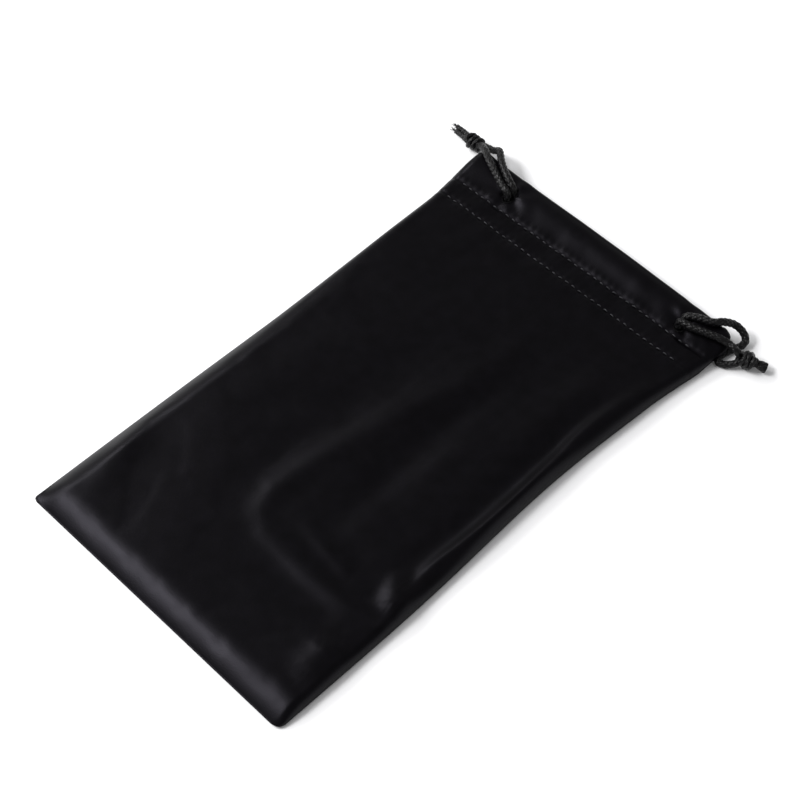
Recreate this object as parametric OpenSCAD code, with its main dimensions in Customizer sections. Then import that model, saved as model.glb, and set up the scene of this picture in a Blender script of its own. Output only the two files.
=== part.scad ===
// Soft drawstring pouch for glasses, lying flat on a table.
// X runs across the pouch, +Y to the mouth, Z up. The origin is under the middle of the pouch.
// The front panel hinges about the bottom seam, and each cord's knotted ends slide outwards.

/* [Pouch] */
// Length from the bottom seam to the mouth
pouch_l = 180; // [150:1:210]
// Width across the bottom
pouch_w = 100; // [90:1:130]
// How far each side flares out at the mouth
mouth_flare = 2; // [0:0.5:3]
// How far the right side is drawn in at the waist
waist_bow = 2.5; // [0:0.5:4]
// Thickness of the fabric
fabric_t = 0.6; // [0.5:0.1:0.7]
// Clear height between the two panels
inside_h = 5.2; // [5:0.1:7]
// Radius at which the front panel rolls over at the sides and bottom
edge_r = 4; // [3:0.5:6]

/* [Casing] */
// From the mouth of the front panel down to the upper row of stitches
casing_w = 13.5; // [12:0.5:16]
// From the upper row of stitches down to the lower row
row_gap = 6.75; // [5:0.25:8]
// Clear height of the channel that holds the cords
channel_h = 2.2; // [2.2:0.1:2.6]
// How far the front mouth stands back from the back mouth
mouth_step = 2; // [1:0.5:4]
// Pitch of the stitches
stitch_pitch = 2.5; // [2:0.25:4]
// Thickness of the sewing thread
thread_d = 0.4; // [0.3:0.05:0.5]

/* [Cords] */
// Diameter of the drawcords
cord_d = 2; // [1.6:0.1:2]
// Distance of the left cord hole from the middle
left_hole_x = 31; // [28:0.5:36]
// Distance of the right cord hole from the middle
right_hole_x = 37.5; // [30:0.5:38]
// Length of each cord hole
hole_l = 5.2; // [4.8:0.1:5.6]
// Width of each cord hole
hole_w = 2.8; // [2.4:0.1:3]

/* [Seams] */
// Width of the seam allowances inside
seam_w = 4; // [3:0.5:5]
// Thickness of an overlocked seam allowance
seam_t = 1.2; // [0.8:0.1:1.6]

/* [Hidden] */

$fn = 48;
cloth = "#17161a";
thread = "#4a4850";
cord = "#1c1b20";

// Space kept between parts that move against each other
gap = 0.3;
// Space kept between the two layers of a hem where they are sewn together
layer_gap = 0.2;

// Ends of the pouch, and the rows of stitches
bottom_y = -pouch_l / 2;
back_lip = pouch_l / 2;
front_lip = back_lip - mouth_step;
upper_row = front_lip - casing_w;
lower_row = upper_row - row_gap;
hem_end = lower_row - 1.75;

// Heights of the middle of each layer of fabric
half_t = fabric_t / 2;
layer_step = fabric_t + channel_h;
fold_r = layer_step / 2;
sewn_step = fabric_t + layer_gap;
body_z = fabric_t + inside_h + half_t;
back_inner_z = half_t + layer_step;
front_inner_z = back_inner_z + fabric_t + 0.4;
front_outer_z = front_inner_z + layer_step;
rim_z = fabric_t + gap;
// Lower edge of the casing at the sides, its height at the lip, and how much narrower the
// turned-in layer is there
casing_side_z = 2.8;
lip_side_z = 3.9;
turned_inset = 3;

// The cords lie side by side in the channels
left_cord_y = front_lip - 8.6;
right_cord_y = front_lip - 4;
front_run_z = (front_inner_z + front_outer_z) / 2;
back_run_z = (half_t + back_inner_z) / 2;
turn_r = (front_run_z - back_run_z) / 2;
turn_x = 45.6;
run_end = turn_x;
back_mouth_w = 48.2;
hole_y = front_lip - 8.8;

// Corner radii of the outline
mouth_corner = 6;
bottom_corner = 4;

function ease(t) = let (c = min(1, max(0, t))) c * c * (3 - 2 * c);
function mix(a, b, t) = a + (b - a) * t;

// Half width of the pouch at y, on the right (side = 1) or the left (side = -1)
function half_w(y, side) =
  pouch_w / 2
  - (side > 0 ? waist_bow : 0.4) * exp(-pow((y - 0.08 * pouch_l) / (0.21 * pouch_l), 2))
  + mouth_flare * ease((y - 0.3 * pouch_l) / (0.18 * pouch_l));

// How far the outline steps in where a corner is rounded, from_end inside the end of the panel
function corner_in(from_end, r) =
  from_end >= r ? 0 : r - sqrt(max(0, r * r - pow(r - max(0, from_end), 2)));

function edge_x(y, side, lip) =
  half_w(y, side)
  - corner_in(lip - y, mouth_corner)
  - corner_in(y - bottom_y, bottom_corner);

function back_edge_x(y, side) =
  min(edge_x(y, side, back_lip), mix(edge_x(y, side, back_lip), back_mouth_w, ease((y - 50) / 14)));

// Stations along the outline, closer together in the corners
function stations(lip) = concat(
  [for (a = [0:15:90]) bottom_y + bottom_corner * (1 - cos(a))],
  [for (i = [1:11]) mix(bottom_y + bottom_corner, lip - mouth_corner, i / 12)],
  [for (a = [0:15:90]) lip - mouth_corner * (1 - sin(a))]
);

// ---- Front panel: one ribbon section, swept across the pouch ----

// Points [y, z, height at the sides, inset at the sides] along the middle of the cloth
casing_top = front_lip - half_t - fold_r;
front_path = concat(
  [for (a = [90:-18:0]) [
    bottom_y + half_t + edge_r * (1 - sin(a)),
    mix(rim_z, body_z, cos(a)),
    rim_z, 0]],
  [for (i = [1:10]) [mix(bottom_y + half_t + edge_r, hem_end, i / 10), body_z, rim_z, 0]],
  [
    [lower_row, body_z, mix(rim_z, casing_side_z, 0.2), 0],
    [upper_row, body_z, mix(rim_z, casing_side_z, 0.9), 0],
    [upper_row + 1.1, mix(body_z, front_outer_z, 0.4), casing_side_z, 0],
    [upper_row + 2.7, front_outer_z, casing_side_z, 0],
    [hole_y, front_outer_z, casing_side_z, 0]
  ],
  [for (a = [90:-22.5:-90]) let (turned = (90 - a) / 180) [
    casing_top + fold_r * cos(a),
    front_run_z + fold_r * sin(a),
    mix(lip_side_z, front_inner_z, turned),
    turned_inset * turned]],
  [
    for (p = [
      [hole_y, front_inner_z],
      [upper_row + 2.7, front_inner_z],
      [upper_row + 1.1, mix(body_z - sewn_step, front_inner_z, 0.6)],
      [upper_row, body_z - sewn_step],
      [lower_row, body_z - sewn_step],
      [hem_end, body_z - sewn_step]
    ]) [p[0], p[1], p[1], turned_inset]
  ]
);

// Steps across the panel: [how far along the flat part, angle of the roll at the side]
across = concat(
  [for (a = [90:-18:18]) [-1, a]],
  [for (i = [-5:5]) [i / 5, 0]],
  [for (a = [18:18:90]) [1, a]]
);

function unit2(v) = v / norm(v);
// Unit normal on the left of the path at point i, as [y, z]
function path_normal(path, i) =
  let (
    a = path[max(0, i - 1)],
    b = path[min(len(path) - 1, i + 1)],
    d = unit2([b[0] - a[0], b[1] - a[1]])
  ) [-d[1], d[0]];

// A point on the outside (out = 1) or the inside (out = -1) of the cloth
function cloth_point(path, i, step, out) =
  let (
    p = path[i],
    n = path_normal(path, i),
    side = step[0] < 0 ? -1 : 1,
    flat_w = edge_x(p[0], side, front_lip) - half_t - edge_r - p[3],
    x = flat_w * step[0] + side * edge_r * sin(step[1]),
    z = mix(p[2], p[1], cos(step[1])),
    roll = side * sin(step[1]) * n[1]
  ) [
    x + out * half_t * roll,
    p[0] + out * half_t * n[0],
    z + out * half_t * cos(step[1]) * n[1]
  ];

// Two triangles for the quad a-b-c-d
function quad(a, b, c, d) = [[a, b, c], [a, c, d]];
function flatten(l) = [for (part = l) for (item = part) item];

module ribbon(path, steps) {
  rows = len(path);
  cols = len(steps);
  sheet = rows * cols;
  points = [for (out = [1, -1]) for (i = [0:rows - 1]) for (s = steps) cloth_point(path, i, s, out)];
  outside = [for (i = [0:rows - 2]) for (j = [0:cols - 2])
    let (k = i * cols + j) quad(k, k + cols, k + cols + 1, k + 1)];
  inside = [for (i = [0:rows - 2]) for (j = [0:cols - 2])
    let (k = sheet + i * cols + j) quad(k, k + 1, k + cols + 1, k + cols)];
  left_end = [for (i = [0:rows - 2])
    let (k = i * cols) quad(k, sheet + k, sheet + k + cols, k + cols)];
  right_end = [for (i = [0:rows - 2])
    let (k = i * cols + cols - 1) quad(k, k + cols, sheet + k + cols, sheet + k)];
  first_end = [for (j = [0:cols - 2]) quad(j, j + 1, sheet + j + 1, sheet + j)];
  last_end = [for (j = [0:cols - 2])
    let (k = (rows - 1) * cols + j) quad(k, sheet + k, sheet + k + 1, k + 1)];
  polyhedron(points, flatten(concat(outside, inside, left_end, right_end, first_end, last_end)));
}

// Slot outline along Y, as a union of two circles and a square
module slot(l, w) {
  translate([0, (l - w) / 2]) circle(d = w);
  translate([0, -(l - w) / 2]) circle(d = w);
  square([w, l - w], center = true);
}

// Room at both sides for the cords to turn from one casing into the other
module turn_notches(z_low, z_high) {
  for (side = [-1, 1])
    translate([side * (turn_x - 1.4 + 10), (left_cord_y + right_cord_y) / 2, (z_low + z_high) / 2])
      cube([20, right_cord_y - left_cord_y + cord_d + 1, z_high - z_low], center = true);
}

module front_panel() {
  color(cloth)
    difference() {
      ribbon(front_path, across);
      for (x = [-left_hole_x, right_hole_x])
        translate([x, hole_y, front_run_z])
          linear_extrude(height = 4) slot(hole_l, hole_w);
      turn_notches(front_inner_z - fabric_t, front_inner_z + fabric_t);
    }
}

// ---- Back panel: flat on the table, with its own casing ----

back_top = back_lip - half_t - fold_r;
back_path = concat(
  [[bottom_y, half_t], [back_top - 1, half_t]],
  [for (a = [-90:15:90]) [back_top + fold_r * cos(a), back_run_z + fold_r * sin(a)]],
  [
    [upper_row + 2.7, back_inner_z],
    [upper_row, half_t + sewn_step],
    [hem_end, half_t + sewn_step]
  ]
);

module back_section() {
  last = len(back_path) - 1;
  polygon(concat(
    [for (i = [0:last]) back_path[i] + half_t * path_normal(back_path, i)],
    [for (i = [last:-1:0]) back_path[i] - half_t * path_normal(back_path, i)]
  ));
}

module back_outline() {
  ys = stations(back_lip);
  polygon(concat(
    [for (y = ys) [back_edge_x(y, 1), y]],
    [for (i = [len(ys) - 1:-1:0]) [-back_edge_x(ys[i], -1), ys[i]]]
  ));
}

module back_panel() {
  reach = pouch_w / 2 + 10;
  color(cloth)
    difference() {
      intersection() {
        translate([-reach, 0, 0]) rotate([90, 0, 90]) linear_extrude(height = 2 * reach) back_section();
        translate([0, 0, -1]) linear_extrude(height = back_inner_z + 3) back_outline();
      }
      turn_notches(back_run_z, back_inner_z + fabric_t);
    }
}

// ---- Seam allowances inside ----

seam_inset = 1.6;

module side_seam(side) {
  ys = [for (i = [0:12]) mix(bottom_y + 7, hem_end - 2, i / 12)];
  color(thread)
    translate([0, 0, fabric_t])
      linear_extrude(height = seam_t)
        polygon(concat(
          [for (y = ys) [side * (back_edge_x(y, side) - seam_inset), y]],
          [for (i = [12:-1:0]) [side * (back_edge_x(ys[i], side) - seam_inset - seam_w), ys[i]]]
        ));
}

module left_side_seam() { side_seam(-1); }
module right_side_seam() { side_seam(1); }

module bottom_seam() {
  color(thread)
    translate([-pouch_w / 2 + 6, bottom_y + seam_inset, fabric_t])
      cube([pouch_w - 12, seam_w, seam_t]);
}

// ---- Stitches ----

// A row of thread lengths lying half sunk in the cloth
module stitch_row(y, z, half_length) {
  count = floor(2 * half_length / stitch_pitch);
  color(thread)
    for (i = [0:count - 1])
      translate([(i - count / 2) * stitch_pitch, y, z])
        rotate([0, 90, 0]) cylinder(h = 0.7 * stitch_pitch, d = thread_d, $fn = 16);
}

row_half = pouch_w / 2 - 6;
module front_upper_topstitch() { stitch_row(upper_row, body_z + half_t, row_half); }
module front_lower_topstitch() { stitch_row(lower_row, body_z + half_t, row_half); }
module back_upper_topstitch() { stitch_row(upper_row, half_t + sewn_step + half_t, row_half - 2); }
module back_lower_topstitch() { stitch_row(lower_row, half_t + sewn_step + half_t, row_half - 2); }

// Thread worked round the edge of a cord hole
module buttonhole(x) {
  color(thread)
    translate([x, hole_y, front_outer_z + half_t])
      linear_extrude(height = thread_d)
        difference() {
          slot(hole_l + 1.8, hole_w + 1.8);
          slot(hole_l, hole_w);
        }
}
module left_buttonhole_stitching() { buttonhole(-left_hole_x); }
module right_buttonhole_stitching() { buttonhole(right_hole_x); }

// ---- Cords inside the casings ----

module cord_run(y, z) {
  color(cord)
    translate([-run_end, y, z]) rotate([0, 90, 0]) cylinder(h = 2 * run_end, d = cord_d);
}
module left_cord_front_run() { cord_run(left_cord_y, front_run_z); }
module right_cord_front_run() { cord_run(right_cord_y, front_run_z); }
module left_cord_back_run() { cord_run(left_cord_y, back_run_z); }
module right_cord_back_run() { cord_run(right_cord_y, back_run_z); }

// Half rings that take a cord from the front casing to the back casing at each side
module side_turns(y) {
  color(cord)
    for (side = [-1, 1])
      translate([side * turn_x, y, back_run_z + turn_r])
        rotate([90, 0, 0])
          rotate([0, 0, side > 0 ? -90 : 90])
            rotate_extrude(angle = 180) translate([turn_r, 0]) circle(d = cord_d);
}
module left_cord_side_turns() { side_turns(left_cord_y); }
module right_cord_side_turns() { side_turns(right_cord_y); }

// ---- Free ends of the cords ----

left_upper_route = [
  [-30.8, 78, 6.7], [-30.8, 78, 7.6], [-31.1, 78, 8.4], [-31.9, 78.1, 8.8], [-34.5, 78.9, 8.7],
  [-38.6, 80.7, 8.7], [-43, 82.7, 8.7], [-47.3, 85.2, 8.5], [-50.8, 87.2, 6.5], [-52.8, 88.2, 4]
];
left_lower_route = [
  [-30.8, 80.4, 6.7], [-30.8, 80.4, 7.6], [-31.1, 80.5, 8.4], [-31.9, 80.7, 8.8],
  [-34.5, 81.7, 8.8], [-37.5, 83.3, 8.8], [-40.4, 85.2, 8.8], [-42.9, 87.3, 8.6],
  [-45.4, 89.4, 6.3], [-48.2, 90.1, 3.7], [-50.8, 90, 3], [-52.8, 89.6, 2.8]
];
right_upper_route = [
  [37.3, 80.4, 6.7], [37.3, 80.4, 7.6], [37.6, 80.5, 8.4], [38.5, 80.8, 8.8], [41.4, 82.2, 8.8],
  [45, 83.9, 8.7], [46.9, 86.2, 8.7], [48.9, 89.2, 6.6], [50.8, 90.7, 3.4], [52.7, 90, 2],
  [53.1, 88.2, 1.5], [52.4, 86.2, 1.2], [51.5, 83.5, 1.2], [51.1, 80.9, 1.2], [51.6, 79, 1.2],
  [53.2, 78.9, 1.2], [55, 80.2, 1.5], [56.5, 82, 2.4]
];
right_lower_route = [
  [37.3, 78, 6.7], [37.3, 78, 7.6], [37.6, 77.9, 8.4], [38.5, 77.8, 8.8], [41.7, 78.1, 8.8],
  [44.5, 79.1, 8.8], [47.3, 80.1, 8.7], [50.4, 81.2, 8.4], [52.8, 82.2, 7.3], [54.4, 82.8, 5.6],
  [55.8, 83.2, 3.9]
];
left_short_tail = [[-57.4, 88, 2.6], [-60.6, 88.8, 1.9], [-63.7, 89.3, 1.1]];
left_long_tail = [[-57.4, 89.2, 2.8], [-61.2, 90.3, 2], [-64.6, 91, 1.1]];
right_tail_route = [[60, 85, 2.8], [61.7, 85.8, 2.2], [63.3, 86.5, 1.6]];

tube_sides = 8;
// The left tails are frayed thin, and the right tails are fused into a blunt end
frayed_d = 0.65 * cord_d;
fused_d = 1.3 * cord_d;

function unit3(v) = v / norm(v);
// Direction of a route at point i
function heading(route, i) =
  unit3(route[min(len(route) - 1, i + 1)] - route[max(0, i - 1)]);
// Sideways direction at point i, carried on from ring to ring so that the tube doesn't twist
function sideways(route, i) =
  let (t = heading(route, i), before = i == 0 ? [0, 1, 0] : sideways(route, i - 1))
  unit3(before - (before * t) * t);

module tube(route, d) {
  rings = len(route);
  n = tube_sides;
  points = [for (i = [0:rings - 1])
    let (t = heading(route, i), s = sideways(route, i), u = cross(t, s))
    for (k = [0:n - 1]) route[i] + d / 2 * (cos(360 * k / n) * s + sin(360 * k / n) * u)];
  walls = [for (i = [0:rings - 2]) for (k = [0:n - 1])
    let (a = i * n + k, b = i * n + (k + 1) % n) quad(a, a + n, b + n, b)];
  first = [[for (k = [0:n - 1]) k]];
  last = [[for (k = [n - 1:-1:0]) (rings - 1) * n + k]];
  polyhedron(points, concat(flatten(walls), first, last));
}

module left_upper_strand() { color(cord) tube(left_upper_route, cord_d); }
module left_lower_strand() { color(cord) tube(left_lower_route, cord_d); }
module right_upper_strand() { color(cord) tube(right_upper_route, cord_d); }
module right_lower_strand() { color(cord) tube(right_lower_route, cord_d); }
module left_tails() {
  color(cord) {
    tube(left_short_tail, frayed_d);
    tube(left_long_tail, frayed_d);
  }
}
module right_tail() { color(cord) tube(right_tail_route, fused_d); }

// An overhand knot of both strands: a core with two wraps, from a point in a direction
module knot(from, turn, l) {
  color(cord)
    translate(from) rotate([0, 0, turn]) rotate([0, 90, 0]) {
      cylinder(h = l, r = 0.95 * cord_d);
      for (k = [0.33, 0.67])
        translate([0, 0, k * l])
          rotate_extrude() translate([0.75 * cord_d, 0]) circle(r = 0.55 * cord_d);
    }
}
module left_knot() { knot([-52.4, 89.1, 2.9], 186, 5.6); }
module right_knot() { knot([56.1, 83, 2.9], 27, 4.6); }

back_panel();
front_panel();
left_side_seam();
right_side_seam();
bottom_seam();
front_upper_topstitch();
front_lower_topstitch();
back_upper_topstitch();
back_lower_topstitch();
left_buttonhole_stitching();
right_buttonhole_stitching();
left_cord_front_run();
right_cord_front_run();
left_cord_back_run();
right_cord_back_run();
left_cord_side_turns();
right_cord_side_turns();
left_upper_strand();
left_lower_strand();
left_knot();
left_tails();
right_upper_strand();
right_lower_strand();
right_knot();
right_tail();
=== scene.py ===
"""Soft drawstring pouch for glasses: cloth panels, stitches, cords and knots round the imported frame.

Shapes are worked out in millimetres, in the frame's own axes, and turned into metres when a mesh is made.
"""

import math

import bpy
import numpy as np
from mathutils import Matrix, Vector


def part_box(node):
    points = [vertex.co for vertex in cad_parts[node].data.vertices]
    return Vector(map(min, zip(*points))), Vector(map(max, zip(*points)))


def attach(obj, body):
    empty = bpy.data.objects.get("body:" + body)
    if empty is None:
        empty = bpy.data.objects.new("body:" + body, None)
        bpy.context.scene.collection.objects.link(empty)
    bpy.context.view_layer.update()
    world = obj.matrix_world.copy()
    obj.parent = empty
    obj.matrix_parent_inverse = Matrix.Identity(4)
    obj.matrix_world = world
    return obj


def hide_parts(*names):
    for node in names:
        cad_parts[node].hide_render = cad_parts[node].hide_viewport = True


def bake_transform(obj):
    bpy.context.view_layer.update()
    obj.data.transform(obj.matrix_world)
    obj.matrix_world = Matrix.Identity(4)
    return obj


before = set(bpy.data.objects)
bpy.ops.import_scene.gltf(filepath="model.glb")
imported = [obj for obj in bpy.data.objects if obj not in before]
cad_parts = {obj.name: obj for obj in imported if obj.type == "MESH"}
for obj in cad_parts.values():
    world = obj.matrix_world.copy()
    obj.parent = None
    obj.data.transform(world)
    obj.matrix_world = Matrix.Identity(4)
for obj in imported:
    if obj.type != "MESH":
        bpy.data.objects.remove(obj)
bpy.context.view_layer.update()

MM = 0.001
CURVE_STEPS = 24
rng = np.random.default_rng(7)


# ---------------------------------------------------------------- small helpers


def box_mm(node):
    """Lowest and highest corner of a CAD node, in millimetres."""
    low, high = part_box(node)
    return np.array(low) / MM, np.array(high) / MM


def ease(t):
    """0 up to t = 0, 1 from t = 1, and an even curve between."""
    t = np.clip(t, 0.0, 1.0)
    return t * t * (3 - 2 * t)


def mix(a, b, t):
    return a + (b - a) * t


def bump(distance, width):
    """Round bump, 1 at the middle and almost 0 at two widths away."""
    return np.exp(-((distance / width) ** 2))


def mesh_object(name, points_mm, faces):
    """A smooth-shaded object from points in millimetres."""
    mesh = bpy.data.meshes.new(name)
    points = np.asarray(points_mm, float) * MM
    mesh.from_pydata(points.tolist(), [], [list(map(int, f)) for f in faces])
    mesh.validate()
    mesh.polygons.foreach_set("use_smooth", [True] * len(mesh.polygons))
    made = bpy.data.objects.new(name, mesh)
    bpy.context.scene.collection.objects.link(made)
    return made


def grid_faces(rows, cols, first=0, closed=False):
    """Quads of a grid of points, numbered row by row. closed joins the last column to the first."""
    faces = []
    for i in range(rows - 1):
        for j in range(cols if closed else cols - 1):
            k = first + i * cols
            right = (j + 1) % cols
            faces.append((k + j, k + right, k + cols + right, k + cols + j))
    return faces


def apply_modifiers(piece):
    """Replaces the piece's mesh with what its modifiers make of it."""
    depsgraph = bpy.context.evaluated_depsgraph_get()
    final = bpy.data.meshes.new_from_object(piece.evaluated_get(depsgraph))
    piece.modifiers.clear()
    piece.data = final
    final.polygons.foreach_set("use_smooth", [True] * len(final.polygons))


def smooth_curve(points, step):
    """Catmull-Rom curve through the points, resampled to an even step."""
    p = np.asarray(points, float)
    p = np.vstack([2 * p[0] - p[1], p, 2 * p[-1] - p[-2]])
    dense = []
    for i in range(1, len(p) - 2):
        t = np.linspace(0, 1, CURVE_STEPS, endpoint=False)[:, None]
        a, b, c, d = p[i - 1], p[i], p[i + 1], p[i + 2]
        dense.append(
            0.5
            * (
                2 * b
                + (c - a) * t
                + (2 * a - 5 * b + 4 * c - d) * t**2
                + (3 * b - a - 3 * c + d) * t**3
            )
        )
    dense = np.vstack(dense + [p[-2:-1]])
    along = np.r_[0, np.cumsum(np.linalg.norm(np.diff(dense, axis=0), axis=1))]
    count = max(2, int(round(along[-1] / step)) + 1)
    even = np.linspace(0, along[-1], count)
    return np.stack([np.interp(even, along, dense[:, k]) for k in range(3)], axis=1)


def curve_length(points):
    """Length of a path given as points."""
    return float(np.linalg.norm(np.diff(points, axis=0), axis=1).sum())


def frames_along(path):
    """Two sideways unit vectors at each point of a path, carried along it without twist."""
    tangent = np.gradient(path, axis=0)
    tangent /= np.linalg.norm(tangent, axis=1)[:, None]
    side = np.zeros_like(path)
    start = np.cross(tangent[0], [0.0, 0.0, 1.0])
    if np.linalg.norm(start) < 1e-3:
        start = np.array([0.0, 1.0, 0.0])
    side[0] = start / np.linalg.norm(start)
    for i in range(1, len(path)):
        v = side[i - 1] - tangent[i] * (side[i - 1] @ tangent[i])
        side[i] = v / np.linalg.norm(v)
    return side, np.cross(tangent, side)


def tube_points(path, radius, sides):
    """Rings round a path. radius is a function of (index, angles)."""
    side, up = frames_along(path)
    angles = np.linspace(0, 2 * math.pi, sides, endpoint=False)
    rings = []
    for i, centre in enumerate(path):
        r = radius(i, angles)[:, None]
        rings.append(
            centre + r * (np.cos(angles)[:, None] * side[i] + np.sin(angles)[:, None] * up[i])
        )
    return np.array(rings)


def plain(radius):
    """Radius function of a round tube of even thickness."""
    return lambda k, angles: np.full_like(angles, radius)


def capped_tube(path, radius, sides, first=0):
    """Points and faces of a closed tube round a path."""
    rings = tube_points(path, radius, sides)
    points = np.vstack([rings.reshape(-1, 3), path[0], path[-1]])
    faces = grid_faces(len(path), sides, first, closed=True)
    start, end = first + len(path) * sides, first + len(path) * sides + 1
    last_ring = first + (len(path) - 1) * sides
    for j in range(sides):
        nxt = (j + 1) % sides
        faces.append((first + nxt, first + j, start))
        faces.append((last_ring + j, last_ring + nxt, end))
    return points, faces


class Parts:
    """Gathers many small closed meshes into one object."""

    def __init__(self):
        self.points, self.faces, self.count = [], [], 0

    def add(self, path, radius, sides):
        points, faces = capped_tube(path, radius, sides, self.count)
        self.points.append(points)
        self.faces += faces
        self.count += len(points)

    def build(self, name):
        return mesh_object(name, np.vstack(self.points), self.faces)


# ---------------------------------------------------------------- sizes, from the frame

back_low, back_high = box_mm("back_panel")
front_high = box_mm("front_panel")[1]

# Where the cloth ends, and the middles of the rows of stitches, along y
BOTTOM = back_low[1] - 0.3
FRONT_LIP = front_high[1] - 1.2
BACK_LIP = back_high[1] - 1.5
THREAD_HALF = 0.2
UPPER_ROW = box_mm("front_upper_topstitch")[0][1] + THREAD_HALF
LOWER_ROW = box_mm("front_lower_topstitch")[0][1] + THREAD_HALF
HEM_END = LOWER_ROW - 1.75
CASING_RIDGE_Y = (UPPER_ROW + FRONT_LIP) / 2 + 1.5
HALF_WIDTH = back_high[0] - 1.0
# Thickness of the cloth, and heights of the side seams, the flat front and the casing
CLOTH = 0.5
SEAM_Z = 0.85
BODY_Z = 4.5
CASING_Z = 6.0
STITCH_PITCH = 2.5
# Share of the pitch that a stitch covers, and where the middle of the gap after it is
STITCH_SHARE = 0.56
STITCH_GAP_AT = 0.78
THREAD_R = 0.21

left_hole = box_mm("left_buttonhole_stitching")
right_hole = box_mm("right_buttonhole_stitching")
LEFT_HOLE = (left_hole[0] + left_hole[1]) / 2
RIGHT_HOLE = (right_hole[0] + right_hole[1]) / 2


# ---------------------------------------------------------------- camera

CAMERA_AZIMUTH = math.radians(45.43)
CAMERA_ELEVATION = math.radians(54.16)
CAMERA_DISTANCE = 0.6054
CAMERA_TARGET = Vector((-0.0030, 0.00506, 0.0))
CAMERA_LENS = 96.1
SENSOR_WIDTH = 36

camera_data = bpy.data.cameras.new("camera")
camera_data.sensor_width = SENSOR_WIDTH
camera_data.lens = CAMERA_LENS
camera = bpy.data.objects.new("camera", camera_data)
bpy.context.scene.collection.objects.link(camera)
towards_camera = Vector(
    (
        math.sin(CAMERA_AZIMUTH) * math.cos(CAMERA_ELEVATION),
        -math.cos(CAMERA_AZIMUTH) * math.cos(CAMERA_ELEVATION),
        math.sin(CAMERA_ELEVATION),
    )
)
camera.location = CAMERA_TARGET + towards_camera * CAMERA_DISTANCE
camera.rotation_euler = (-towards_camera).to_track_quat("-Z", "Y").to_euler()
bpy.context.scene.camera = camera
bpy.context.scene.view_settings.view_transform = "Standard"


# ---------------------------------------------------------------- materials

CLOTH_SHINE = 0.28
CLOTH_SHEEN = 0.008
CLOTH_DARK = (0.0006, 0.0005, 0.0006)
CLOTH_LIGHT = (0.0014, 0.0012, 0.0016)
CLOTH_ROUGHNESS = (0.27, 0.41)
CLOTH_RELIEF = 0.0001
YARN_RELIEF = 0.00007
SOFT_IOR = 1.25
# Noise values between which a colour drifts from dark to light
COLOUR_BAND = (0.35, 0.7)


def set_inputs(shader, values):
    """Sets the shader inputs that are named in values."""
    for key, value in values.items():
        shader.inputs[key].default_value = value


def start_material(name, values):
    """A new material whose shader has these values, with its nodes, links and shader."""
    made = bpy.data.materials.new(name)
    made.use_nodes = True
    shader = made.node_tree.nodes["Principled BSDF"]
    set_inputs(shader, values)
    return made, made.node_tree.nodes, made.node_tree.links, shader


def texture(nodes, links, coordinates, kind, **values):
    """A procedural texture in the piece's own coordinates."""
    made = nodes.new(kind)
    for key, value in values.items():
        made.inputs[key].default_value = value
    links.new(coordinates.outputs["Object"], made.inputs["Vector"])
    return made


def wandering_colour(nodes, links, shader, noise, dark, light):
    """Base colour that drifts between two colours as the noise does."""
    ramp = nodes.new("ShaderNodeValToRGB")
    for element, position, colour in zip(ramp.color_ramp.elements, COLOUR_BAND, (dark, light)):
        element.position = position
        element.color = (*colour, 1)
    links.new(noise.outputs["Fac"], ramp.inputs["Fac"])
    links.new(ramp.outputs["Color"], shader.inputs["Base Color"])


def weighted_sum(nodes, links, textures, weights):
    """Output socket that adds the textures up, each with its weight."""
    total = None
    for source, weight in zip(textures, weights):
        step = nodes.new("ShaderNodeMath")
        step.operation = "MULTIPLY_ADD"
        step.inputs[1].default_value = weight
        step.inputs[2].default_value = 0.0
        links.new(source.outputs["Fac"], step.inputs[0])
        if total is not None:
            links.new(total, step.inputs[2])
        total = step.outputs[0]
    return total


def add_relief(nodes, links, shader, height, strength, depth):
    """Fine bumps of this depth, in metres, on the shader."""
    relief = nodes.new("ShaderNodeBump")
    relief.inputs["Strength"].default_value = strength
    relief.inputs["Distance"].default_value = depth
    links.new(height, relief.inputs["Height"])
    links.new(relief.outputs["Normal"], shader.inputs["Normal"])


def cloth_material():
    """Black brushed stretch knit: a short nap over fine knitted columns, with a cool sheen."""
    values = {
        "IOR": SOFT_IOR,
        "Specular IOR Level": CLOTH_SHINE,
        "Sheen Weight": CLOTH_SHEEN,
        "Sheen Roughness": 0.35,
        "Sheen Tint": (0.72, 0.64, 0.9, 1),
        "Specular Tint": (0.88, 0.84, 1.0, 1),
    }
    made, nodes, links, shader = start_material("black_velour", values)
    coordinates = nodes.new("ShaderNodeTexCoord")
    patches = texture(nodes, links, coordinates, "ShaderNodeTexNoise", Scale=220, Detail=4)
    clouds = texture(nodes, links, coordinates, "ShaderNodeTexNoise", Scale=70, Detail=5)
    nap = texture(nodes, links, coordinates, "ShaderNodeTexNoise", Scale=3200, Detail=3)
    columns = texture(
        nodes, links, coordinates, "ShaderNodeTexWave", Scale=900, Distortion=3, Detail=2
    )
    wandering_colour(nodes, links, shader, patches, CLOTH_DARK, CLOTH_LIGHT)
    height = weighted_sum(nodes, links, (columns, nap, clouds), (0.12, 0.9, 1.3))
    add_relief(nodes, links, shader, height, 0.32, CLOTH_RELIEF)
    # The nap lies over in soft patches, which spread the shine more or less
    rough = nodes.new("ShaderNodeMapRange")
    rough.inputs["To Min"].default_value, rough.inputs["To Max"].default_value = CLOTH_ROUGHNESS
    links.new(clouds.outputs["Fac"], rough.inputs["Value"])
    links.new(rough.outputs["Result"], shader.inputs["Roughness"])
    return made


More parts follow.
